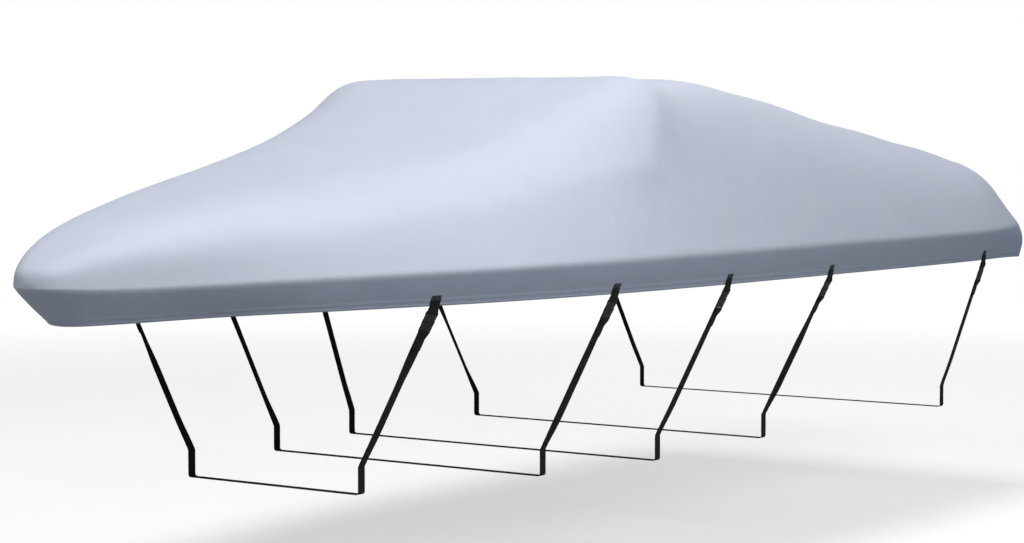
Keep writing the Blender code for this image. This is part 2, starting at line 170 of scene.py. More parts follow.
def controlRow(section):
    s = dict(zip(sectionColumns, section))
    flankX = 0.5 * (s["railX"] + s["crownX"])
    browRise = s["shoulderRise"] + browRiseShare * (s["crownRise"] - s["shoulderRise"])
    half = [
        (s["railX"], s["railHalf"], 0.0),
        (flankX, s["flankHalf"], s["flankRise"]),
        (s["crownX"], s["shoulderHalf"], s["shoulderRise"]),
        (s["crownX"], s["shoulderHalf"] * browShare, browRise),
    ]
    port = [(x, -y, sheerHeight(x) + rise) for x, y, rise in half]
    crown = [(s["crownX"], 0.0, sheerHeight(s["crownX"]) + s["crownRise"])]
    return port + crown + [(x, -y, z) for x, y, z in reversed(port)]


def splineWeights(places, count):
    # a row for each place along the spline, a column for each of its control points
    weights = np.zeros((len(places), count + 2))
    span = np.minimum(places.astype(int), count - 2)
    t = places - span
    shares = ((1 - t) ** 3, 3 * t ** 3 - 6 * t ** 2 + 4, -3 * t ** 3 + 3 * t ** 2 + 3 * t + 1, t ** 3)
    for k, share in enumerate(shares):
        weights[np.arange(len(places)), span + k] = share / 6
    weights[:, 1] += 2 * weights[:, 0]
    weights[:, 2] -= weights[:, 0]
    weights[:, -2] += 2 * weights[:, -1]
    weights[:, -3] -= weights[:, -1]
    return weights[:, 1:-1]


def foldHeight(points, table):
    lift = np.zeros(len(points))
    for fold in table:
        f = dict(zip(foldColumns, fold))
        start = np.array([f["startX"], f["startY"]])
        line = np.array([f["endX"], f["endY"]]) - start
        offset = points[:, :2] - start
        share = np.clip(offset @ line / (line @ line), 0, 1)
        distance = np.linalg.norm(offset - share[:, None] * line, axis=1)
        lift += f["height"] * np.exp(-(distance / f["width"]) ** 2)
    return lift


def topGrid(alongPitch, acrossSteps, edgePlaces=()):
    # points above the gunwale, bow to stern by port to starboard
    net = np.array([controlRow(section) for section in sections])
    lengths = np.linalg.norm(np.diff(net, axis=0), axis=2).max(axis=1)
    along = [np.linspace(k, k + 1, max(2, round(length / alongPitch)), endpoint=False)
             for k, length in enumerate(lengths)]
    last, breadth = len(lengths), net.shape[1] - 1
    along = np.concatenate(along + [[last - place for place in edgePlaces], [last]])
    across = np.linspace(0, breadth, breadth * acrossSteps + 1)
    across = np.concatenate([across, edgePlaces, [breadth - place for place in edgePlaces]])
    rows = splineWeights(np.unique(along), net.shape[0])
    columns = splineWeights(np.unique(across), net.shape[1])
    return np.einsum("ui,vj,ijk->uvk", rows, columns, net)


def gridLengths(grid):
    # how far each point is along the cloth from the bow, across it from the crown,
    # and from the nearest stretch of gunwale
    along = np.zeros(grid.shape[:2])
    along[1:] = np.cumsum(np.linalg.norm(np.diff(grid, axis=0), axis=2), axis=0)
    across = np.zeros(grid.shape[:2])
    across[:, 1:] = np.cumsum(np.linalg.norm(np.diff(grid, axis=1), axis=2), axis=1)
    toRail = np.minimum(across, across[:, -1:] - across)
    toRail = np.minimum(toRail, along[-1:] - along)
    middle = grid.shape[1] // 2
    return along, across - across[:, middle:middle + 1], toRail


def railRing(grid):
    # grid places round the gunwale from the bow tip: port, transom, starboard
    rows, columns = grid.shape[:2]
    port = [(i, 0) for i in range(rows)]
    transom = [(rows - 1, j) for j in range(1, columns)]
    starboard = [(i, columns - 1) for i in range(rows - 2, 0, -1)]
    return np.array(port + transom + starboard)


def bandShape(rail):
    # for each point of the gunwale: the way in, the drop to the hem, the tuck and the swell
    spine = np.zeros_like(rail)
    spine[:, 0] = np.clip(rail[:, 0], band["spineBow"], band["spineStern"])
    spine[:, 2] = rail[:, 2]
    x = rail[:, 0]
    depth = band["depthAft"] + (band["depthBow"] - band["depthAft"]) * bowFade(x, band["depthRun"])
    tuck = band["tuckAft"] + (band["tuckBow"] - band["tuckAft"]) * bowFade(x, band["tuckRun"])
    tuck -= band["quarterFlare"] * quarterFade(x)
    swellOut = band["belly"] + band["quarterSwell"] * quarterFade(x)
    return unit(spine - rail), depth + railKick(x), tuck, swellOut


def bandRow(rail, share, out=0.0):
    # the band at a share of its depth, and proud by `out` where the hem is thicker
    inward, depth, tuck, swellOut = bandShape(rail)
    move = tuck * share - swellOut * np.sin(math.pi * share) - out
    drop = np.stack([0 * depth, 0 * depth, -depth * share], axis=1)
    return rail + inward * move[:, None] + drop


# Materials: the shared effects first, then each finish

def addNode(tree, kind, place, **settings):
    node = tree.nodes.new(kind)
    node.location = place
    for key, value in settings.items():
        setattr(node, key, value)
    return node


def feed(tree, socket, value):
    if isinstance(value, bpy.types.NodeSocket):
        tree.links.new(value, socket)
    else:
        socket.default_value = value


def mathNode(tree, operation, place, *values):
    node = addNode(tree, "ShaderNodeMath", place, operation=operation)
    for socket, value in zip(node.inputs, values):
        feed(tree, socket, value)
    return node.outputs[0]


def mapRange(tree, place, *values):
    # value, then where it starts and ends, then what it becomes there
    node = addNode(tree, "ShaderNodeMapRange", place)
    for socket, value in zip(node.inputs, values):
        feed(tree, socket, value)
    return node.outputs[0]


def mixColour(tree, place, share, first, second, blend="MIX"):
    node = addNode(tree, "ShaderNodeMix", place, data_type="RGBA", blend_type=blend)
    for index, value in ((0, share), (6, first), (7, second)):
        feed(tree, node.inputs[index], value)
    return node.outputs[2]


def greyColour(tree, place, value):
    colour = addNode(tree, "ShaderNodeCombineColor", place)
    for k in range(3):
        feed(tree, colour.inputs[k], value)
    return colour.outputs[0]


def noise(tree, place, vector, scale, detail=3.0, roughness=0.5, distortion=0.0):
    node = addNode(tree, "ShaderNodeTexNoise", place)
    values = {"Vector": vector, "Scale": scale, "Detail": detail, "Roughness": roughness,
              "Distortion": distortion}
    for label, value in values.items():
        feed(tree, node.inputs[label], value)
    return node.outputs["Fac"]


def bump(tree, place, height, distance, strength=1.0, after=None):
    node = addNode(tree, "ShaderNodeBump", place)
    node.inputs["Distance"].default_value = distance
    node.inputs["Strength"].default_value = strength
    feed(tree, node.inputs["Height"], height)
    if after is not None:
        feed(tree, node.inputs["Normal"], after)
    return node.outputs["Normal"]


def newGroup(name, inputs, outputs):
    group = bpy.data.node_groups.new(name, "ShaderNodeTree")
    for label, kind, value in inputs:
        made = group.interface.new_socket(name=label, in_out="INPUT", socket_type=kind)
        if value is not None:
            made.default_value = value
    for label in outputs:
        group.interface.new_socket(name=label, in_out="OUTPUT", socket_type="NodeSocketFloat")
    source = addNode(group, "NodeGroupInput", (-900, 0))
    target = addNode(group, "NodeGroupOutput", (900, 0))
    return group, source.outputs, target.inputs


def useGroup(tree, group, place, values):
    node = addNode(tree, "ShaderNodeGroup", place, node_tree=group)
    for label, value in values.items():
        feed(tree, node.inputs[label], value)
    return node.outputs


effects = dict(                               # a span: from where to where, and what it becomes
    slubStretch=(30.0, 900.0, 30.0), slubNoise=dict(scale=1.0, detail=2.0),
    broadNoise=dict(detail=3.0, roughness=0.55, distortion=0.4),
    fineNoise=dict(detail=4.0, roughness=0.6), dustNoise=dict(detail=5.0, roughness=0.65),
    dustFacing=(-0.4, 1.0, 0.25, 1.0), dustPatches=(0.35, 0.72, 0.0, 1.0),
    ridge=(0.52, 0.60, 0.0, 1.0), wearPatches=(0.35, 0.65, 0.2, 1.0), noiseRange=(0.3, 0.7),
)


def makeWeaveGroup():
    # a plain weave: threads pass over and under each other in squares
    group, source, target = newGroup(
        "plainWeave",
        [("Vector", "NodeSocketVector", None), ("Thread", "NodeSocketFloat", 0.001),
         ("Slub", "NodeSocketFloat", 0.3)],
        ["Height", "Thread Tone"])
    spacing = mathNode(group, "DIVIDE", (-700, 200), math.pi, source["Thread"])
    split = addNode(group, "ShaderNodeSeparateXYZ", (-700, 0))
    feed(group, split.inputs[0], source["Vector"])
    waves = []
    for k in range(2):
        turned = mathNode(group, "MULTIPLY", (-520, -160 * k), split.outputs[k], spacing)
        waves.append(mathNode(group, "SINE", (-360, -160 * k), turned))
    both = mathNode(group, "MULTIPLY", (-200, 120), *waves)
    over = mathNode(group, "GREATER_THAN", (-40, 120), both, 0.0)
    under = mathNode(group, "SUBTRACT", (120, 200), 1.0, over)
    warp = mathNode(group, "ABSOLUTE", (-200, -60), waves[0])
    weft = mathNode(group, "ABSOLUTE", (-200, -220), waves[1])
    warp = mathNode(group, "MULTIPLY", (280, 60), warp, over)
    weft = mathNode(group, "MULTIPLY", (280, -100), weft, under)
    threads = mathNode(group, "MAXIMUM", (440, 0), warp, weft)
    stretch = addNode(group, "ShaderNodeVectorMath", (-520, -420), operation="MULTIPLY")
    feed(group, stretch.inputs[0], source["Vector"])
    stretch.inputs[1].default_value = effects["slubStretch"]
    slub = noise(group, (-200, -420), stretch.outputs[0], **effects["slubNoise"])
    uneven = mathNode(group, "MULTIPLY", (280, -420), slub, source["Slub"])
    feed(group, target["Height"], mathNode(group, "ADD", (620, 0), threads, uneven))
    feed(group, target["Thread Tone"], slub)
    return group


def makeMottleGroup():
    # cloudy unevenness at a broad and a fine scale
    group, source, target = newGroup(
        "mottle",
        [("Vector", "NodeSocketVector", None), ("Broad", "NodeSocketFloat", 1.5),
         ("Fine", "NodeSocketFloat", 25.0), ("Fine Share", "NodeSocketFloat", 0.4)],
        ["Tone", "Grain"])
    place = source["Vector"]
    broad = noise(group, (-400, 150), place, source["Broad"], **effects["broadNoise"])
    fine = noise(group, (-400, -150), place, source["Fine"], **effects["fineNoise"])
    kept = mathNode(group, "SUBTRACT", (-100, 250), 1.0, source["Fine Share"])
    broadPart = mathNode(group, "MULTIPLY", (80, 200), broad, kept)
    finePart = mathNode(group, "MULTIPLY", (80, 0), fine, source["Fine Share"])
    feed(group, target["Tone"], mathNode(group, "ADD", (260, 100), broadPart, finePart))
    feed(group, target["Grain"], fine)
    return group


def makeDustGroup():
    # dust settles in patches, most on what faces up
    group, source, target = newGroup(
        "settledDust",
        [("Vector", "NodeSocketVector", None), ("Scale", "NodeSocketFloat", 8.0),
         ("Amount", "NodeSocketFloat", 0.3)],
        ["Dust"])
    geometry = addNode(group, "ShaderNodeNewGeometry", (-700, 200))
    split = addNode(group, "ShaderNodeSeparateXYZ", (-520, 200))
    feed(group, split.inputs[0], geometry.outputs["Normal"])
    facing = mapRange(group, (-340, 200), split.outputs[2], *effects["dustFacing"])
    cloudy = noise(group, (-340, -60), source["Vector"], source["Scale"], **effects["dustNoise"])
    patches = mapRange(group, (-140, -60), cloudy, *effects["dustPatches"])
    dust = mathNode(group, "MULTIPLY", (60, 80), facing, patches)
    feed(group, target["Dust"], mathNode(group, "MULTIPLY", (240, 80), dust, source["Amount"]))
    return group


def makeEdgeGroup():
    # ridges that rub go paler, in broken patches
    group, source, target = newGroup(
        "edgeWear",
        [("Vector", "NodeSocketVector", None), ("Amount", "NodeSocketFloat", 0.6),
         ("Scale", "NodeSocketFloat", 300.0)],
        ["Wear"])
    geometry = addNode(group, "ShaderNodeNewGeometry", (-600, 100))
    ridge = mapRange(group, (-400, 100), geometry.outputs["Pointiness"], *effects["ridge"])
    cloudy = noise(group, (-400, -100), source["Vector"], source["Scale"])
    broken = mapRange(group, (-200, -100), cloudy, *effects["wearPatches"])
    both = mathNode(group, "MULTIPLY", (0, 50), ridge, broken)
    feed(group, target["Wear"], mathNode(group, "MULTIPLY", (180, 50), both, source["Amount"]))
    return group


weaveGroup = makeWeaveGroup()
mottleGroup = makeMottleGroup()
dustGroup = makeDustGroup()
edgeGroup = makeEdgeGroup()


def newMaterial(name, sockets):
    material = bpy.data.materials.new(name)
    material.use_nodes = True
    shader = material.node_tree.nodes["Principled BSDF"]
    shader.location = (600, 0)
    material.node_tree.nodes["Material Output"].location = (900, 0)
    for label, value in sockets.items():
        shader.inputs[label].default_value = value
    return material, material.node_tree, shader.inputs


def unevenFinish(tree, look, vector):
    # the mottle of a finish, and the roughness that goes with it
    mottle = useGroup(tree, mottleGroup, (-1200, 200), {"Vector": vector, **look["mottle"]})
    grain = (mottle["Grain"], *effects["noiseRange"])
    return mottle, mapRange(tree, (0, 0), *grain, *look["rough"])


def settleDust(tree, look, vector, colour):
    dust = useGroup(tree, dustGroup, (-650, -150), {"Vector": vector, **look["dusting"]})
    return mixColour(tree, (0, 250), dust["Dust"], colour, look["dust"])


clothLook = dict(
    shader={"Specular IOR Level": 0.32, "Sheen Weight": 0.12, "Sheen Roughness": 0.45},
    silver=(0.490, 0.512, 0.615, 1.0),        # coated polyester, a cool silver grey
    silverDeep=(0.455, 0.477, 0.577, 1.0), toneSpan=(0.36, 0.64),
    paintedBandShade=(0.721, 0.749, 0.805, 1.0),     # painted shade: the band below the gunwale is darkened and blued as if in shade
    dust=(0.56, 0.55, 0.53, 1.0), dusting={"Scale": 5.0, "Amount": 0.10},
    mottle={"Broad": 1.1, "Fine": 16.0, "Fine Share": 0.35}, rough=(0.57, 0.69),
    weave={"Thread": 0.0009, "Slub": 0.35}, weaveDepth=0.00022, weaveBump=0.7,
    threadTone=(0.97, 1.03),
    crumple=dict(scale=7.0, detail=4.0, roughness=0.5, distortion=0.6),
    crumpleDepth=0.010, crumpleBump=0.15,
)


def makeClothMaterial():
    c = clothLook
    material, tree, surface = newMaterial("silverCoverCloth", c["shader"])
    where = addNode(tree, "ShaderNodeTexCoord", (-1500, 0)).outputs
    weave = useGroup(tree, weaveGroup, (-1200, -300), {"Vector": where["UV"], **c["weave"]})
    mottle, rough = unevenFinish(tree, c, where["Object"])
    share = mapRange(tree, (-900, 250), mottle["Tone"], *c["toneSpan"], 0.0, 1.0)
    colour = mixColour(tree, (-650, 250), share, c["silverDeep"], c["silver"])
    slub = (weave["Thread Tone"], *effects["noiseRange"])
    tone = greyColour(tree, (-700, 0), mapRange(tree, (-900, 0), *slub, *c["threadTone"]))
    colour = mixColour(tree, (-450, 200), 1.0, colour, tone, "MULTIPLY")
    # painted shade: the bandShare mask darkens and blues the cloth below the gunwale
    side = addNode(tree, "ShaderNodeAttribute", (-900, 500), attribute_name="bandShare")
    shade = mixColour(tree, (-650, 500), side.outputs["Fac"], (1, 1, 1, 1), c["paintedBandShade"])
    colour = mixColour(tree, (-250, 250), 1.0, colour, shade, "MULTIPLY")
    feed(tree, surface["Base Color"], settleDust(tree, c, where["Object"], colour))
    feed(tree, surface["Roughness"], rough)
    crumple = noise(tree, (-650, -450), where["Object"], **c["crumple"])
    normal = bump(tree, (0, -350), crumple, c["crumpleDepth"], c["crumpleBump"])
    normal = bump(tree, (250, -350), weave["Height"], c["weaveDepth"], c["weaveBump"], normal)
    feed(tree, surface["Normal"], normal)
    return material


webbingLook = dict(
    shader={"Specular IOR Level": 0.20, "Sheen Weight": 0.02, "Sheen Roughness": 0.5},
    dark=(0.005, 0.005, 0.006, 1.0), pale=(0.012, 0.012, 0.013, 1.0),
    dust=(0.045, 0.044, 0.042, 1.0), dusting={"Scale": 45.0, "Amount": 0.25},
    mottle={"Broad": 9.0, "Fine": 140.0, "Fine Share": 0.5}, rough=(0.66, 0.84),
    weave={"Thread": 0.0016, "Slub": 0.5}, weaveDepth=0.00045, weaveBump=0.9,
)


def makeWebbingMaterial():
    c = webbingLook
    material, tree, surface = newMaterial("blackWebbing", c["shader"])
    where = addNode(tree, "ShaderNodeTexCoord", (-1500, 0)).outputs
    weave = useGroup(tree, weaveGroup, (-1200, -300), {"Vector": where["UV"], **c["weave"]})
    mottle, rough = unevenFinish(tree, c, where["Object"])
    colour = mixColour(tree, (-600, 200), mottle["Tone"], c["dark"], c["pale"])
    feed(tree, surface["Base Color"], settleDust(tree, c, where["Object"], colour))
    feed(tree, surface["Roughness"], rough)
    normal = bump(tree, (250, -300), weave["Height"], c["weaveDepth"], c["weaveBump"])
    feed(tree, surface["Normal"], normal)
    return material


buckleLook = dict(
    shader={"Specular IOR Level": 0.35},
    dark=(0.006, 0.006, 0.007, 1.0), pale=(0.012, 0.012, 0.013, 1.0),
    worn=(0.045, 0.045, 0.048, 1.0), wear={"Amount": 0.5, "Scale": 220.0}, wornRough=0.15,
    dust=(0.06, 0.059, 0.057, 1.0), dusting={"Scale": 60.0, "Amount": 0.12},
    mottle={"Broad": 30.0, "Fine": 1400.0, "Fine Share": 0.3}, rough=(0.38, 0.50),
    grainDepth=0.00005, grainBump=0.6,
)


def makeBuckleMaterial():
    c = buckleLook
    material, tree, surface = newMaterial("blackMouldedNylon", c["shader"])
    where = addNode(tree, "ShaderNodeTexCoord", (-1500, 0)).outputs["Object"]
    mottle, rough = unevenFinish(tree, c, where)
    colour = mixColour(tree, (-600, 200), mottle["Tone"], c["dark"], c["pale"])
    wear = useGroup(tree, edgeGroup, (-650, 0), {"Vector": where, **c["wear"]})
    colour = mixColour(tree, (-350, 200), wear["Wear"], colour, c["worn"])
    feed(tree, surface["Base Color"], settleDust(tree, c, where, colour))
    rubbed = mathNode(tree, "MULTIPLY", (0, -200), wear["Wear"], c["wornRough"])
    feed(tree, surface["Roughness"], mathNode(tree, "ADD", (250, -100), rough, rubbed))
    normal = bump(tree, (250, -300), mottle["Grain"], c["grainDepth"], c["grainBump"])
    feed(tree, surface["Normal"], normal)
    return material


threadLook = dict(
    shader={"Specular IOR Level": 0.4, "Sheen Weight": 0.15, "Sheen Roughness": 0.4},
    # a grey thread, darkened to the tone of the band's painted shade
    dark=(0.34, 0.36, 0.44, 1.0), pale=(0.44, 0.46, 0.55, 1.0),
    mottle={"Broad": 14.0, "Fine": 900.0, "Fine Share": 0.5}, rough=(0.45, 0.65),
    grainDepth=0.0001, grainBump=0.8,
)


def makeThreadMaterial():
    c = threadLook
    material, tree, surface = newMaterial("sewingThread", c["shader"])
    where = addNode(tree, "ShaderNodeTexCoord", (-1500, 0)).outputs["Object"]
    mottle, rough = unevenFinish(tree, c, where)
    colour = mixColour(tree, (-300, 200), mottle["Tone"], c["dark"], c["pale"])
    feed(tree, surface["Base Color"], colour)
    feed(tree, surface["Roughness"], rough)
    normal = bump(tree, (250, -300), mottle["Grain"], c["grainDepth"], c["grainBump"])
    feed(tree, surface["Normal"], normal)
    return material


clothMaterial = makeClothMaterial()
webbingMaterial = makeWebbingMaterial()
buckleMaterial = makeBuckleMaterial()
threadMaterial = makeThreadMaterial()
print("boat cover: materials made")


def finishPiece(piece, material):
    piece.data.materials.append(material)
    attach(piece, "root")


# The cover cloth: top and band in one skin, with a rolled hem

cover = dict(
    alongPitch=0.026, acrossSteps=12, edgePlaces=(0.03, 0.07, 0.12),
    bandSteps=9,                              # rows between the gunwale and the hem fold
    seamRows=(0.008, 0.017),                  # rows just under the gunwale
    thickness=0.0016,
    easeRounds=3, easeFrom=0.03,              # how soft the break over the gunwale is
    broadRise=0.0022, broadWave=0.75, broadSeed=11,
    smallRise=0.0006, smallWave=0.17, smallSeed=12,
    bandRise=0.0016, bandWave=0.30, bandSeed=13, bandFlatten=0.3,
    # paintedShadeFade: how far below the gunwale the painted shade takes to come in
    unevenFade=0.18, ridgeFade=0.10, creaseFade=0.05, paintedShadeFade=0.02,
)
hemRows = [                                   # height above the edge, and how proud
    (0.0250, 0.0000), (0.0240, 0.0005), (0.0205, 0.0007), (0.0140, 0.0006), (0.0100, 0.0007),
    (0.0082, 0.0014), (0.0066, 0.0028), (0.0046, 0.0034), (0.0026, 0.0030), (0.0010, 0.0018),
    (0.0000, 0.0000),
]
stitchHemRows = (2, 4)                        # rows of the hem that carry stitches

knuckles = [                                  # a place, then the ridge's height, width, softness
    (0.100, 0.150, 1.235, 0.000, 0.060, 0.020),
    (0.357, 0.319, 1.296, 0.003, 0.080, 0.030),
    (0.795, 0.538, 1.352, 0.007, 0.110, 0.035),
    (1.320, 0.729, 1.417, 0.011, 0.120, 0.032),
    (1.685, 0.806, 1.474, 0.013, 0.120, 0.028),
    (2.049, 0.865, 1.542, 0.016, 0.120, 0.022),
    (2.255, 0.899, 1.566, 0.017, 0.120, 0.018),
    (2.365, 0.847, 1.696, 0.015, 0.110, 0.020),
    (2.490, 0.780, 1.828, 0.011, 0.110, 0.022),
    (2.560, 0.735, 1.868, 0.005, 0.110, 0.030),
    (2.720, 0.690, 1.885, 0.000, 0.120, 0.045),
    (2.950, 0.660, 1.880, 0.000, 0.140, 0.060),
]
knuckle = dict(settle=0.38, settleReach=2.2, leastSoft=0.001)    # the cloth sinks beside a ridge

creases = [                                   # short soft creases in the top
    (3.425, -0.845, 3.455, -0.885, 0.012, 0.0035),
    (3.400, -0.850, 3.430, -0.895, 0.014, -0.0020),
]
puckers = dict(start=0.06, fadeIn=0.05, end=0.62, fadeOut=0.30, pitch=0.052, rise=0.0026,
               reach=0.045, wander=0.012, wanderWave=0.35, wanderSeed=14)
tabPull = dict(rise=0.0006, width=0.035, ridgeAt=0.075, ridgeWidth=0.030, ridge=0.6)

strapColumns = ("hemX", "runX", "runHalf", "legTurn")
straps = [                                    # legTurn: degrees a leg hangs turned to the bow
    (1.171, 1.177, 0.400, 6.0),
    (1.935, 1.935, 0.645, 14.0),
    (2.621, 2.549, 0.760, 5.0),
    (3.410, 3.415, 0.740, 19.0),
    (4.893, 4.950, 0.825, 0.0),
]


def coverNet():
    # the points of the cover, row by row, with its faces and how the cloth lies flat
    grid = topGrid(cover["alongPitch"], cover["acrossSteps"], cover["edgePlaces"])
    rows, columns = grid.shape[:2]
    ring = railRing(grid)
    rail = grid[ring[:, 0], ring[:, 1]]
    depth = bandShape(rail)[1]
    along, across, toRail = gridLengths(grid)
    ease = smoothStep(toRail, 0.0, railFade)
    grid[:, :, 2] += ease * foldHeight(grid.reshape(-1, 3), folds).reshape(ease.shape)

    shares = [row / depth for row in cover["seamRows"]]
    hemStart = 1 - hemRows[0][0] / depth
    for k in range(1, cover["bandSteps"]):
        shares.append(shares[1] + (hemStart - shares[1]) * k / cover["bandSteps"])
    outs = [0.0] * len(shares) + [out for _, out in hemRows]
    shares += [1 - height / depth for height, _ in hemRows]
    bandRows = [bandRow(rail, share, out) for share, out in zip(shares, outs)]

    def topIndex(i, j):
        return 0 if i == 0 else 1 + (i - 1) * columns + j      # the bow tip is one point

    topCount, count = 1 + (rows - 1) * columns, len(ring)
    points = np.concatenate([grid[0, :1], grid[1:].reshape(-1, 3)] + bandRows)
    faces, uvs = [], []
    for i in range(rows - 1):
        for j in range(columns - 1):
            corners = [(i, j), (i + 1, j), (i + 1, j + 1), (i, j + 1)][:3 if i == 0 else 4]
            faces.append([topIndex(*corner) for corner in corners])
            uvs.append([(along[corner], across[corner]) for corner in corners])
    ringStep = np.linalg.norm(np.diff(rail, axis=0, append=rail[:1]), axis=1)
    ringLength = np.concatenate([[0], np.cumsum(ringStep)])
    rowIndex = [np.array([topIndex(i, j) for i, j in ring])]
    rowIndex += [topCount + k * count + np.arange(count) for k in range(len(bandRows))]
    down = [0 * depth] + [-share * depth for share in shares]
    for k in range(len(bandRows)):
        upper, lower = rowIndex[k], rowIndex[k + 1]
        for r in range(count):
            after = (r + 1) % count
            faces.append([upper[r], lower[r], lower[after], upper[after]])
            uvs.append([(ringLength[r], down[k][r]), (ringLength[r], down[k + 1][r]),
                        (ringLength[r + 1], down[k + 1][r]), (ringLength[r + 1], down[k][r])])

    nearRail = set(rowIndex[0]) | set(rowIndex[1])
    for i, j in ring:
        nearRail.add(topIndex(min(i, rows - 2), min(max(j, 1), columns - 2)))
    edge = np.concatenate([[0.0], toRail[1:].ravel()] + [share * depth for share in shares])
    bandShare = np.concatenate([np.zeros(topCount)] + shares)
    isBand = np.arange(len(points)) >= topCount
    return points, faces, uvs, rail, rowIndex, nearRail, edge, bandShare, isBand


def easeBreak(piece, points, nearRail):
    # the cloth turns softly over the gunwale
    mesh = bmesh.new()
    mesh.from_mesh(piece.data)
    mesh.verts.ensure_lookup_table()
    soft = [mesh.verts[int(k)] for k in sorted(nearRail) if points[int(k)][0] > cover["easeFrom"]]
    for _ in range(cover["easeRounds"]):
        bmesh.ops.smooth_vert(mesh, verts=soft, factor=0.5, use_axis_x=True, use_axis_y=True,
                              use_axis_z=True)
    mesh.to_mesh(piece.data)
    mesh.free()


def knuckleRise(place):
    # a ridge along a line in space, alike on both sides of the boat
    line = np.array(knuckles)
    nearest = np.full(len(place), np.inf)
    height, width, soft = (np.zeros(len(place)) for _ in range(3))
    spot = place * (1, 0, 1) + np.abs(place) * (0, 1, 0)
    for start, end in zip(line, line[1:]):
        step = end[:3] - start[:3]
        share = np.clip((spot - start[:3]) @ step / (step @ step), 0, 1)
        distance = np.linalg.norm(spot - start[:3] - share[:, None] * step, axis=1)
        closer = distance < nearest
        nearest = np.where(closer, distance, nearest)
        for values, k in ((height, 3), (width, 4), (soft, 5)):
            values[closer] = (start[k] + share * (end[k] - start[k]))[closer]
    soft = np.maximum(soft, knuckle["leastSoft"])
    ridge = np.exp((soft - np.hypot(nearest, soft)) / width)
    beside = np.exp(-(nearest / (knuckle["settleReach"] * width)) ** 2)
    return height * (ridge - knuckle["settle"] * beside)


def unevenness(place, edge, bandShare, isBand):
    # how far each point stands off the even shape
    c, p, t = cover, puckers, tabPull

    def onTop(fade):
        return np.where(isBand, 0.0, smoothStep(edge, 0.0, fade))

    rise = onTop(c["ridgeFade"]) * knuckleRise(place)
    rise += onTop(c["unevenFade"]) * c["broadRise"] * swell(place, c["broadWave"], c["broadSeed"])
    rise += onTop(c["unevenFade"]) * c["smallRise"] * swell(place, c["smallWave"], c["smallSeed"])
    rise += onTop(c["creaseFade"]) * foldHeight(place, creases)
    bandEase = np.where(isBand, np.sin(math.pi * np.clip(bandShare, 0, 1)), 0.0)
    flattened = place * (1, 1, c["bandFlatten"])
    rise += bandEase * c["bandRise"] * swell(flattened, c["bandWave"], c["bandSeed"])
    # small puckers gather along the gunwale near the bow
    window = smoothStep(place[:, 0], p["start"], p["start"] + p["fadeIn"])
    window *= 1 - smoothStep(place[:, 0], p["end"] - p["fadeOut"], p["end"])
    wander = place[:, 0] + p["wander"] * swell(place, p["wanderWave"], p["wanderSeed"])
    gather = np.exp(-(edge / p["reach"]) ** 2) * np.sin(2 * math.pi * wander / p["pitch"])
    rise += p["rise"] * window * gather
    # each tab draws the band in a little, with a faint ridge on both sides
    for strap in straps:
        away = np.abs(place[:, 0] - strap[0])
        pull = np.exp(-(away / t["width"]) ** 2)
        pull -= t["ridge"] * np.exp(-((away - t["ridgeAt"]) / t["ridgeWidth"]) ** 2)
        rise -= t["rise"] * bandEase * pull
    return rise


def makeCover():
    points, faces, uvs, rail, rowIndex, nearRail, edge, bandShare, isBand = coverNet()
    piece = addMesh("boat_cover", points, faces, uvs)
    easeBreak(piece, points, nearRail)
    mesh = piece.data
    place = np.array([vertex.co for vertex in mesh.vertices])
    normals = np.array([vertex.normal for vertex in mesh.vertices])
    place = place + normals * unevenness(place, edge, bandShare, isBand)[:, None]
    mesh.vertices.foreach_set("co", (place + toFrame).ravel())
    mesh.update()
    # painted shade: a mask, stored on the points as bandShare, that darkens the band below the
    # gunwale
    shade = smoothStep(edge, 0.0, cover["paintedShadeFade"])
    pointNumbers(piece, "bandShare", np.where(isBand, shade, 0.0))
    skin = piece.modifiers.new("thickness", "SOLIDIFY")
    skin.thickness = cover["thickness"]
    skin.offset = -1.0
    finishPiece(piece, clothMaterial)
    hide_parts("cover_cloth")
    firstHemRow = len(rowIndex) - len(hemRows)
    lines = [rowIndex[firstHemRow + k] for k in stitchHemRows]
    return piece, rail, [(place[line], normals[line]) for line in lines]


def evenly(points, normals, pitch, closed=False, reach=0.001):
    # places at an even pitch along a line, with the way it runs and the way out
    if closed:
        points = np.concatenate([points, points[:1]])
        normals = np.concatenate([normals, normals[:1]])
    run = np.concatenate([[0], np.cumsum(np.linalg.norm(np.diff(points, axis=0), axis=1))])
    stops = np.linspace(0, run[-1], max(2, round(run[-1] / pitch)) + 1)
    stops = 0.5 * (stops[1:] + stops[:-1])

    def at(values, places):
        return np.stack([np.interp(places, run, values[:, k]) for k in range(3)], axis=1)

    ahead = at(points, stops + reach) - at(points, stops - reach)
    return at(points, stops), unit(ahead), unit(at(normals, stops))


stitchProfile = [                             # shares: along the stitch, lift, girth
    (-0.5, -0.4, 0.3), (-0.28, 0.35, 0.9), (0.28, 0.35, 0.9), (0.5, -0.4, 0.3),
]


def stitchMesh(at, along, out, length, thickness):
    # each stitch is a short thread that dips into the cloth at both ends
    across = unit(np.cross(along, out))
    radius = thickness / 2
    points, faces = [], []
    for centre, t, s, n in zip(at, along, across, out):
        base = len(points)
        for step, lift, girth in stitchProfile:
            middle = centre + t * step * length + n * lift * thickness
            points += [middle + s * radius * girth, middle + n * radius * girth,
                       middle - s * radius * girth, middle - n * radius * girth]
        for first in (base, base + 4, base + 8):
            for c in range(4):
                d = (c + 1) % 4
                faces.append([first + d, first + c, first + 4 + c, first + 4 + d])
        faces.append([base, base + 1, base + 2, base + 3])
        faces.append([base + 15, base + 14, base + 13, base + 12])
    return points, faces


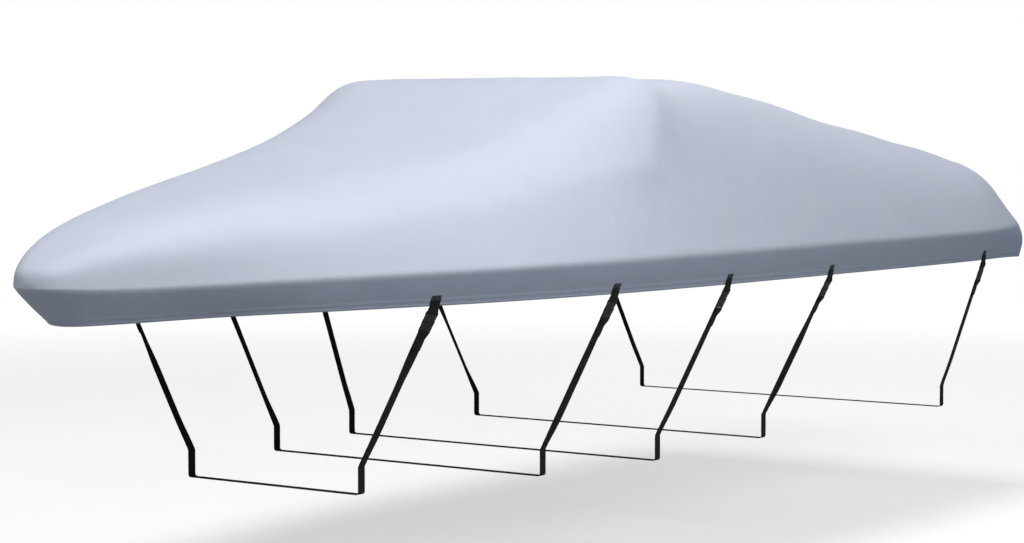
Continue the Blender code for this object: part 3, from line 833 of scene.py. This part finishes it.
def addStitches(name, lines, length, thickness):
    points, faces = [], []
    for at, along, out in lines:
        morePoints, moreFaces = stitchMesh(at, along, out, length, thickness)
        faces += [[index + len(points) for index in face] for face in moreFaces]
        points += morePoints
    piece = addMesh(name, np.array(points) + toFrame, faces)
    finishPiece(piece, threadMaterial)
    return piece


hemStitch = dict(pitch=0.0058, length=0.0044, thickness=0.0008, lift=0.0001)

boatCover, coverRail, stitchRows = makeCover()
hemLines = []
for linePoints, lineNormals in stitchRows:
    lifted = linePoints + lineNormals * hemStitch["lift"]
    hemLines.append(evenly(lifted, lineNormals, hemStitch["pitch"], closed=True))
hemStitching = addStitches("hem_stitching", hemLines, hemStitch["length"], hemStitch["thickness"])
print("boat cover: cloth and hem stitching made,", len(boatCover.data.vertices), "points")


# Webbing: five straps under the hull, each between two tabs sewn on the hem

webbing = dict(
    width=0.038, thickness=0.0015, gap=0.0004, clothGap=0.0006,
    hemProud=0.0036,                          # webbing rides over the rolled hem
    runHeight=0.420, railTop=0.520, runCorner=0.010, bendEase=0.006,
    tabBend=0.004, tabSlack=0.001, legSettle=0.015,
    tail=0.075, tailLift=0.0008, tailMiddle=0.055, tailMiddleLift=0.0012, tailSettle=0.030,
    twistClear=0.010, twistSteps=15, twistStart=(0.0, 0.3), twistEnd=(0.7, 1.0),
    cornerTrim=0.0035, cornerShare=0.45, pitch=0.020, sharpAngle=60,
    hemReach=0.03, sideFrom=0.2, sideEnd=5.2,    # the stretch of hem that carries straps
)
tabRows = [                                   # above the hem; how proud each layer lies
    (0.046, 0.0, 0.0), (0.028, 0.0002, 0.0002), (0.022, 0.0014, 0.0014),
    (0.011, 0.0016, 0.0018 + webbing["tabSlack"]),
    (0.006, webbing["hemProud"], webbing["hemProud"] + webbing["tabSlack"]),
]
buckle = dict(thickness=0.0075, bar=0.004, belowHem=0.020, socketLength=0.040,
              plugLength=0.042, width=0.048, endWidth=0.046, socketSlot=0.0036,
              plugSlot=0.0045, slotRoom=0.002, sharpAngle=40, weld=0.00001)
barPath = [                                   # round a bar, in shares of its reach and its loop
    (0.0, -1.0), (0.8, -1.0), (1.0, -0.85), (1.0, 0.85), (0.8, 1.0), (0.0, 1.0), (-1.0, 1.0),
]


class Seat:
    # where one strap leaves the hem: the hem point, the band above and the leg below
    def __init__(self, strap, rail):
        hem, reach = bandRow(rail, 1.0), webbing["hemReach"]
        side = (rail[:, 1] < -webbing["sideFrom"]) & (rail[:, 0] < webbing["sideEnd"])
        hem, above = hem[side], rail[side]

        def at(line, x):
            return np.array([np.interp(x, hem[:, 0], line[:, k]) for k in range(3)])

        self.hem = at(hem, strap["hemX"])
        self.along = unit(at(hem, strap["hemX"] + reach) - at(hem, strap["hemX"] - reach))
        down = self.hem - at(above, strap["hemX"])
        self.down = unit(down - (down @ self.along) * self.along)
        self.bandOut = unit(np.cross(self.down, self.along))
        self.bend = np.array([strap["runX"], -strap["runHalf"], webbing["railTop"]])
        self.leg = unit(self.bend - self.hem)
        self.width = unit(self.along - (self.along @ self.leg) * self.leg)
        self.out = unit(np.cross(self.leg, self.width))
        turn = math.radians(strap["legTurn"])
        self.turned = np.array([math.cos(turn), -math.sin(turn), 0.0])
        self.lay = webbing["clothGap"] + webbing["thickness"] / 2
        self.loop = buckle["thickness"] / 2 + webbing["gap"] + webbing["thickness"] / 2
        self.barOut = self.lay + self.loop + webbing["hemProud"]

    def at(self, below, outward):
        return self.hem + self.leg * below + self.out * outward

    def onBand(self, above, outward):
        return self.hem - self.down * above + self.bandOut * outward


def barLoop(seat, below, side):
    # round a bar: side 1 turns under the upper bar, -1 over the lower one
    reach = buckle["bar"] / 2 + webbing["gap"] + webbing["thickness"] / 2
    return [(seat.at(below + side * reach * step, seat.barOut + seat.loop * out), seat.width)
            for step, out in barPath]


def tabStations(seat):
    # a tab: down the band from its sewn end, round the buckle's upper bar and back
    outerLay = seat.lay + webbing["thickness"] + webbing["gap"]

    def layer(lay, column):
        rows = [(seat.onBand(row[0], lay + row[column]), seat.along) for row in tabRows]
        return rows + [(seat.at(webbing["tabBend"], lay + tabRows[-1][column]), seat.width)]

    return layer(seat.lay, 1) + barLoop(seat, buckle["belowHem"], 1) + layer(outerLay, 2)[::-1]


def buckleSpan():
    start = buckle["belowHem"] - buckle["bar"] / 2
    joint = start + buckle["socketLength"]
    end = joint + webbing["gap"] + buckle["plugLength"]
    return start, joint, end, end - buckle["bar"] / 2


def halfStrapStations(seat):
    # the port half of a strap, from its doubled tail to the middle of the boat
    w = webbing
    lowerBar = buckleSpan()[3]
    lay = seat.lay + w["hemProud"]
    tailOut = lay + w["thickness"] + w["gap"]
    stations = [(seat.at(lowerBar + w["tail"], tailOut + w["tailLift"]), seat.width),
                (seat.at(lowerBar + w["tailMiddle"], tailOut + w["tailMiddleLift"]), seat.width),
                (seat.at(lowerBar + w["tailSettle"], tailOut), seat.width)]
    stations += list(reversed(barLoop(seat, lowerBar, -1)))
    stations.append((seat.at(lowerBar + w["legSettle"], lay), seat.width))
    freeStart = lowerBar + w["tail"] + w["twistClear"]
    legLength = np.linalg.norm(seat.bend - seat.hem)
    athwart = np.array([1.0, 0.0, 0.0])
    for share in np.linspace(0, 1, w["twistSteps"]):
        below = freeStart + share * (legLength - freeStart)
        early = float(smoothStep(share, *w["twistStart"]))
        late = float(smoothStep(share, *w["twistEnd"]))
        width = seat.width + early * (seat.turned - seat.width) + late * (athwart - seat.turned)
        width = unit(width - (width @ seat.leg) * seat.leg)
        settled = seat.lay + w["hemProud"] * (1 - late)
        stations.append((seat.at(below, settled), width))
    bend = stations[-1][0]
    middle = w["runHeight"] + w["thickness"] / 2
    stations.append((bend - np.array([0.0, 0.0, w["bendEase"]]), athwart))
    for angle in (0, 30, 60, 90):
        turn = math.radians(angle)
        y = bend[1] + w["runCorner"] * (1 - math.cos(turn))
        z = middle + w["runCorner"] * (1 - math.sin(turn))
        stations.append((np.array([bend[0], y, z]), athwart))
    return stations


def cornerCut(side):
    # the share of a side that the curve at its corner takes
    length = np.linalg.norm(side)
    return min(webbing["cornerTrim"], webbing["cornerShare"] * length) / length


def roundCorners(stations):
    # each corner of the path becomes a short curve
    points = [np.asarray(point) for point, _ in stations]
    widths = [np.asarray(width) for _, width in stations]
    path = [(points[0], widths[0])]
    for k in range(1, len(points) - 1):
        back, ahead = points[k - 1] - points[k], points[k + 1] - points[k]
        cutBack, cutAhead = cornerCut(back), cornerCut(ahead)
        start, end = points[k] + back * cutBack, points[k] + ahead * cutAhead
        startWidth = widths[k] + (widths[k - 1] - widths[k]) * cutBack
        endWidth = widths[k] + (widths[k + 1] - widths[k]) * cutAhead
        for t in (0.0, 0.33, 0.67, 1.0):
            bendPoint = (1 - t) ** 2 * start + 2 * t * (1 - t) * points[k] + t * t * end
            path.append((bendPoint, unit((1 - t) * startWidth + t * endWidth)))
    path.append((points[-1], widths[-1]))
    return path


def fillPath(path):
    # long straight stretches get points of their own
    filled = [path[0]]
    for (start, startWidth), (end, endWidth) in zip(path, path[1:]):
        steps = max(1, math.ceil(np.linalg.norm(end - start) / webbing["pitch"]))
        for k in range(1, steps + 1):
            t = k / steps
            filled.append(((1 - t) * start + t * end, unit((1 - t) * startWidth + t * endWidth)))
    return filled


webbingEdge = [                               # its section, in halves of width and thickness
    (-1.0, -0.35), (-0.965, -1.0), (0.0, -1.0), (0.965, -1.0), (1.0, -0.35),
    (1.0, 0.35), (0.965, 1.0), (0.0, 1.0), (-0.965, 1.0), (-1.0, 0.35),
]


def faceOutward(piece, weld=0.0):
    # all faces look outward, once points that meet are joined
    mesh = bmesh.new()
    mesh.from_mesh(piece.data)
    if weld:
        bmesh.ops.remove_doubles(mesh, verts=mesh.verts, dist=weld)
    bmesh.ops.recalc_face_normals(mesh, faces=mesh.faces)
    mesh.to_mesh(piece.data)
    mesh.free()


def addWebbing(name, stations, node):
    path = fillPath(roundCorners(stations))
    points = np.array([point for point, _ in path])
    steps = np.diff(points, axis=0)
    tangents = unit(np.concatenate([steps[:1], unit(steps[1:]) + unit(steps[:-1]), steps[-1:]]))
    run = np.concatenate([[0], np.cumsum(np.linalg.norm(steps, axis=1))])
    size = len(webbingEdge)
    girth = [0.0]
    for k in range(size):
        (x0, y0), (x1, y1) = webbingEdge[k], webbingEdge[(k + 1) % size]
        girth.append(girth[-1] + math.hypot((x1 - x0) * webbing["width"] / 2,
                                            (y1 - y0) * webbing["thickness"] / 2))
    rings = []
    for (point, width), tangent in zip(path, tangents):
        side = width * webbing["width"] / 2
        face = unit(np.cross(width, tangent)) * webbing["thickness"] / 2
        rings += [point + side * x + face * y for x, y in webbingEdge]
    faces, uvs = [], []
    for k in range(len(path) - 1):
        for c in range(size):
            d = (c + 1) % size
            faces.append([k * size + c, k * size + d, (k + 1) * size + d, (k + 1) * size + c])
            uvs.append([(girth[c], run[k]), (girth[c + 1], run[k]), (girth[c + 1], run[k + 1]),
                        (girth[c], run[k + 1])])
    last = (len(path) - 1) * size
    for end in (list(range(size))[::-1], [last + c for c in range(size)]):
        faces.append(end)
        uvs.append([(webbingEdge[c % size][0] * webbing["width"] / 2,
                     webbingEdge[c % size][1] * webbing["thickness"] / 2) for c in range(size)])
    piece = addMesh(name, np.array(rings) + toFrame, faces, uvs, webbing["sharpAngle"])
    faceOutward(piece)
    finishPiece(piece, webbingMaterial)
    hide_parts(node)
    return piece, run[-1]


def mirrored(stations):
    return [(point * mirror, width * mirror) for point, width in stations]


# Side-release buckles: shapes are drawn flat, along the strap by across it

def roundedShape(corners, radius, steps=4, share=0.48):
    # a closed outline through corners, each turned by a curve within a share of its sides
    outline = []
    corners = [np.array(corner, dtype=float) for corner in corners]
    for k, corner in enumerate(corners):
        back, ahead = corners[k - 1] - corner, corners[(k + 1) % len(corners)] - corner
        start = corner + unit(back) * min(radius, share * np.linalg.norm(back))
        end = corner + unit(ahead) * min(radius, share * np.linalg.norm(ahead))
        for t in np.linspace(0, 1, steps + 1):
            outline.append((1 - t) ** 2 * start + 2 * t * (1 - t) * corner + t * t * end)
    return outline


def plate(outline, holes, low, high, bevel):
    # a flat moulding with rounded edges, between two heights
    curve = bpy.data.curves.new("plate", "CURVE")
    curve.dimensions = "2D"
    curve.fill_mode = "BOTH"
    curve.extrude = (high - low) / 2 - bevel
    curve.bevel_depth = bevel
    curve.bevel_resolution = 2
    curve.offset = -bevel
    for line, wanted in [(outline, 1)] + [(hole, -1) for hole in holes]:
        line = np.array(line)
        after = np.roll(line, -1, axis=0)
        area = np.sum(line[:, 0] * after[:, 1] - after[:, 0] * line[:, 1])
        if area * wanted < 0:
            line = line[::-1]
        spline = curve.splines.new("POLY")
        spline.points.add(len(line) - 1)
        for point, (x, y) in zip(spline.points, line):
            point.co = (x, y, 0, 1)
        spline.use_cyclic_u = True
    drawn = bpy.data.objects.new("plate", curve)
    bpy.context.collection.objects.link(drawn)
    bpy.context.view_layer.update()
    solid = drawn.evaluated_get(bpy.context.evaluated_depsgraph_get()).to_mesh()
    points = np.array([vertex.co for vertex in solid.vertices])
    faces = [list(polygon.vertices) for polygon in solid.polygons]
    points[:, 2] += (low + high) / 2
    bpy.data.objects.remove(drawn)
    bpy.data.curves.remove(curve)
    return points, faces


def joinParts(parts):
    points, faces = [], []
    for partPoints, partFaces in parts:
        faces += [[index + len(points) for index in face] for face in partFaces]
        points += list(partPoints)
    return np.array(points), faces


def bothSides(edge):
    # a closed outline from one of its two like edges
    return [(x, -y) for x, y in edge] + list(reversed(edge))


socket = dict(
    flare=0.010, notch=(0.0175, 0.0195, 0.0300, 0.0325), notchDepth=0.0055,
    corner=0.0022, slotCorner=0.0012, bevel=0.0011, topRoom=0.0009,
    panelStart=0.0135, panelEndRoom=0.0035, panelHalf=0.0105,
    panelCorner=0.006, panelSunk=0.0022, panelBevel=0.0007,
    lip=0.0022, lipSideRoom=0.001, lipCorner=0.0008, lipSunk=0.0016, lipTopRoom=0.0001,
    lipBevel=0.0005,
)
plug = dict(
    head=0.006, waist=(0.010, 0.020), waistIn=0.0014, shoulder=0.026,
    corner=0.0024, slotCorner=0.0012, bevel=0.0011, topRoom=0.0008,
    ribs=4, rib=(0.0085, 0.0105), ribPitch=0.0042, ribHalf=0.0150,
    ribCorner=0.0009, ribSunk=0.0020, ribBevel=0.0006,
    button=(0.0215, 0.0190, 0.0120, 0.0085),    # how far into the socket its corners are
    buttonRoot=0.0070, buttonShoulder=0.0033, buttonProud=0.0002,
    buttonCorner=0.0018, buttonLow=0.0012, buttonTop=0.0021, buttonBevel=0.0009,
)
buckleHalf, buckleEnd = buckle["width"] / 2, buckle["endWidth"] / 2
buckleTop, buckleBottom = buckle["thickness"] / 2, -buckle["thickness"] / 2


def halfBody(look, edge, slotStart, slotLength):
    # the body of one buckle half, with the slot that leaves a bar for the webbing
    slotHalf = (webbing["width"] + buckle["slotRoom"]) / 2
    slot = bothSides([(slotStart, slotHalf), (slotStart + slotLength, slotHalf)])
    return plate(roundedShape(bothSides(edge), look["corner"]),
                 [roundedShape(slot, look["slotCorner"])],
                 buckleBottom, buckleTop - look["topRoom"], look["bevel"])


def socketParts():
    s, length = socket, buckle["socketLength"]
    notchStart, notchFoot, notchTop, notchEnd = s["notch"]
    inner = buckleHalf - s["notchDepth"]
    shell = halfBody(s, [(0, buckleEnd), (s["flare"], buckleHalf), (notchStart, buckleHalf),
                         (notchFoot, inner), (notchTop, inner), (notchEnd, buckleHalf),
                         (length, buckleHalf)], buckle["bar"], buckle["socketSlot"])
    panel = bothSides([(s["panelStart"], s["panelHalf"]),
                       (length - s["panelEndRoom"], s["panelHalf"])])
    raised = plate(roundedShape(panel, s["panelCorner"], 6), [], buckleTop - s["panelSunk"],
                   buckleTop, s["panelBevel"])
    lipHalf = buckleHalf - s["lipSideRoom"]
    lip = plate(roundedShape(bothSides([(length - s["lip"], lipHalf), (length, lipHalf)]),
                             s["lipCorner"]), [],
                buckleTop - s["lipSunk"], buckleTop - s["lipTopRoom"], s["lipBevel"])
    return joinParts([shell, raised, lip])


def plugParts():
    p, length = plug, buckle["plugLength"]
    waist = buckleHalf - p["waistIn"]
    waistStart, waistEnd = p["waist"]
    edge = [(0, buckleHalf), (p["head"], buckleHalf), (waistStart, waist), (waistEnd, waist),
            (p["shoulder"], buckleEnd), (length, buckleEnd)]
    slotStart = length - buckle["bar"] - buckle["plugSlot"]
    parts = [halfBody(p, edge, slotStart, buckle["plugSlot"])]
    for k in range(p["ribs"]):
        rib = bothSides([(x + p["ribPitch"] * k, p["ribHalf"]) for x in p["rib"]])
        parts.append(plate(roundedShape(rib, p["ribCorner"]), [], buckleTop - p["ribSunk"],
                           buckleTop, p["ribBevel"]))
    # the two sprung prongs show in the socket's side notches
    lines = [buckleHalf - p["buttonRoot"], buckleHalf - p["buttonShoulder"],
             buckleHalf + p["buttonProud"]]
    farthest, farFace, nearFace, nearest = (-into - webbing["gap"] for into in p["button"])
    places = [farthest, farthest, farFace, nearFace, nearest, nearest]
    for side in (-1, 1):
        button = [(x, side * y) for x, y in zip(places, lines + lines[::-1])]
        parts.append(plate(roundedShape(button, p["buttonCorner"]), [],
                           buckleBottom + p["buttonLow"], buckleTop - p["buttonTop"],
                           p["buttonBevel"]))
    return joinParts(parts)


socketShape = socketParts()
plugShape = plugParts()


def addBuckleHalf(name, seat, shape, start, flip, node):
    points, faces = shape
    placed = np.array([seat.at(start + x, seat.barOut + z) + seat.width * y for x, y, z in points])
    piece = addMesh(name, placed * flip + toFrame, faces)
    faceOutward(piece, buckle["weld"])
    piece.data.shade_smooth()
    piece.data.set_sharp_from_angle(angle=math.radians(buckle["sharpAngle"]))
    finishPiece(piece, buckleMaterial)
    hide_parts(node)
    return piece


tabStitch = dict(pitch=0.0032, length=0.0027, thickness=0.0007, top=0.043, bottom=0.027,
                 half=0.0150)


def tabStitching(name, seat, flip):
    # a boxed cross holds the tab to the band
    s = tabStitch
    layer = seat.lay + webbing["thickness"] * 1.5 + webbing["gap"]
    corners = [(s["top"], -s["half"]), (s["top"], s["half"]), (s["bottom"], s["half"]),
               (s["bottom"], -s["half"])]

    def spot(corner):
        return seat.onBand(corner[0], layer) + seat.along * corner[1]

    lines = []
    for start, end in [(0, 1), (1, 2), (2, 3), (3, 0), (0, 2), (1, 3)]:
        ends = np.array([spot(corners[start]), spot(corners[end])]) * flip
        out = np.array([seat.bandOut, seat.bandOut]) * flip
        lines.append(evenly(ends, out, s["pitch"]))
    return addStitches(name, lines, s["length"], s["thickness"])


def addStrap(number, strap):
    seat = Seat(dict(zip(strapColumns, strap)), coverRail)
    start, joint, _, _ = buckleSpan()
    for side, flip in (("port", np.ones(3)), ("starboard", mirror)):
        tab = tabStations(seat)
        tab = tab if side == "port" else mirrored(tab)
        place = f"{side}_{number}"
        stitching = tabStitching(f"tab_stitching_{place}", seat, flip)
        webbingTab, length = addWebbing(f"tab_webbing_{place}", tab, f"hem_tab_{place}")
        addBuckleHalf(f"buckle_shell_{place}", seat, socketShape, start, flip,
                      f"buckle_socket_{place}")
        addBuckleHalf(f"buckle_prongs_{place}", seat, plugShape, joint + webbing["gap"], flip,
                      f"buckle_plug_{place}")
    port = halfStrapStations(seat)
    whole = port + list(reversed(mirrored(port)))
    piece, length = addWebbing(f"strap_webbing_{number}", whole, f"belly_strap_{number}")


for index, strapRow in enumerate(straps):
    addStrap(index + 1, strapRow)
print("boat cover: straps, tabs and buckles made")


# Floor, lights and camera

studio = dict(
    floorRadius=14.0, floorSides=96, floorFade=(5.5, 12.5), floorGlow=0.58, floorBounce=0.30,
    floorPale=(0.45, 0.47), floorGrain=dict(scale=3.0, detail=5.0, roughness=0.6),
    wall=(1.0, 1.0, 1.0, 1.0), fillColour=(0.34, 0.66, 1.0, 1.0), fill=0.14,
)
lampColumns = ("place", "aim", "size", "power", "colour")
lamps = dict(
    over=((0.0, 0.0, 9.0), (0.0, 0.0, -0.5), 5.0, 640.0, (1.0, 0.96, 0.94)),
    front=((-9.0, -1.5, 8.0), (-0.8, 0.0, -0.5), 4.0, 548.0, (0.99, 1.0, 0.95)),
    side=((-3.1, -6.7, 4.0), (-0.5, -0.8, -0.3), 3.0, 398.0, (1.0, 1.0, 0.95)),
    bow=((-7.5, -0.8, -0.4), (-2.3, 0.0, -0.7), 1.5, 30.0, (1.0, 0.98, 0.95)),
    aft=((8.5, 2.0, 4.5), (2.4, 0.0, -0.6), 4.0, 100.0, (1.0, 0.99, 0.96)),
)


def addFloor():
    s = studio
    turns = [2 * math.pi * k / s["floorSides"] for k in range(s["floorSides"])]
    rim = [(s["floorRadius"] * math.cos(turn), s["floorRadius"] * math.sin(turn), 0.0)
           for turn in turns]
    floor = addMesh("studio_floor", rim, [list(range(len(rim)))])
    floor.location = (0.0, 0.0, toFrame[2])
    material = bpy.data.materials.new("paleFloor")
    material.use_nodes = True
    tree = material.node_tree
    tree.nodes.clear()
    where = addNode(tree, "ShaderNodeTexCoord", (-900, 0)).outputs["Object"]
    grain = noise(tree, (-700, 0), where, **s["floorGrain"])
    pale = mapRange(tree, (-500, 0), grain, *effects["noiseRange"], *s["floorPale"])
    path = addNode(tree, "ShaderNodeLightPath", (-500, 300)).outputs["Is Diffuse Ray"]
    tone = mapRange(tree, (-300, 100), path, 0.0, 1.0, pale, s["floorBounce"])
    matt = addNode(tree, "ShaderNodeBsdfDiffuse", (0, 0))
    glow = addNode(tree, "ShaderNodeEmission", (0, 200))
    seen = addNode(tree, "ShaderNodeLightPath", (-500, 500)).outputs["Is Camera Ray"]
    strength = mathNode(tree, "MULTIPLY", (-200, 400), seen, s["floorGlow"])
    feed(tree, glow.inputs["Strength"], strength)
    lit = addNode(tree, "ShaderNodeAddShader", (120, 100))
    feed(tree, matt.inputs["Color"], greyColour(tree, (-150, 0), tone))
    length = addNode(tree, "ShaderNodeVectorMath", (-500, -300), operation="LENGTH")
    feed(tree, length.inputs[0], where)
    edge = mapRange(tree, (-300, -300), length.outputs["Value"], *s["floorFade"], 0.0, 1.0)
    clear = addNode(tree, "ShaderNodeBsdfTransparent", (0, -200))
    mix = addNode(tree, "ShaderNodeMixShader", (250, 0))
    feed(tree, mix.inputs[0], edge)
    feed(tree, lit.inputs[0], matt.outputs[0])
    feed(tree, lit.inputs[1], glow.outputs[0])
    feed(tree, mix.inputs[1], lit.outputs[0])
    feed(tree, mix.inputs[2], clear.outputs[0])
    output = addNode(tree, "ShaderNodeOutputMaterial", (500, 0))
    feed(tree, output.inputs["Surface"], mix.outputs[0])
    floor.data.materials.append(material)


def addAreaLight(name, place, aim, size, power, colour):
    light = bpy.data.lights.new(name, "AREA")
    light.shape = "DISK"
    light.size = size
    light.energy = power
    light.color = colour
    lamp = bpy.data.objects.new(name, light)
    lamp.location = place
    lamp.rotation_euler = (Vector(aim) - Vector(place)).to_track_quat("-Z", "Y").to_euler()
    bpy.context.collection.objects.link(lamp)


def addWorld():
    s = studio
    world = bpy.data.worlds.new("studio")
    bpy.context.scene.world = world
    world.use_nodes = True
    tree = world.node_tree
    tree.nodes.clear()
    seen = addNode(tree, "ShaderNodeBackground", (0, 100))
    seen.inputs["Color"].default_value = s["wall"]
    fill = addNode(tree, "ShaderNodeBackground", (0, -100))
    fill.inputs["Color"].default_value = s["fillColour"]
    fill.inputs["Strength"].default_value = s["fill"]
    path = addNode(tree, "ShaderNodeLightPath", (0, 400)).outputs["Is Camera Ray"]
    mix = addNode(tree, "ShaderNodeMixShader", (250, 0))
    feed(tree, mix.inputs[0], path)
    feed(tree, mix.inputs[1], fill.outputs[0])
    feed(tree, mix.inputs[2], seen.outputs[0])
    output = addNode(tree, "ShaderNodeOutputWorld", (500, 0))
    feed(tree, output.inputs["Surface"], mix.outputs[0])


view = dict(place=(-7.783, -5.635, -0.2665), turn=54.608, dip=3.018, lens=84.09, sensor=36.0,
            farthest=200.0)


def addCamera():
    camera = bpy.data.cameras.new("camera")
    camera.lens = view["lens"]
    camera.sensor_width = view["sensor"]
    camera.clip_end = view["farthest"]
    holder = bpy.data.objects.new("camera", camera)
    holder.location = view["place"]
    holder.rotation_euler = Euler((math.radians(90 - view["dip"]), 0, math.radians(-view["turn"])))
    bpy.context.collection.objects.link(holder)
    bpy.context.scene.camera = holder


addFloor()
for lampName, lamp in lamps.items():
    addAreaLight(lampName, **dict(zip(lampColumns, lamp)))
addWorld()
addCamera()
bpy.context.scene.view_settings.view_transform = "Standard"
print("boat cover: floor, lights and camera set")
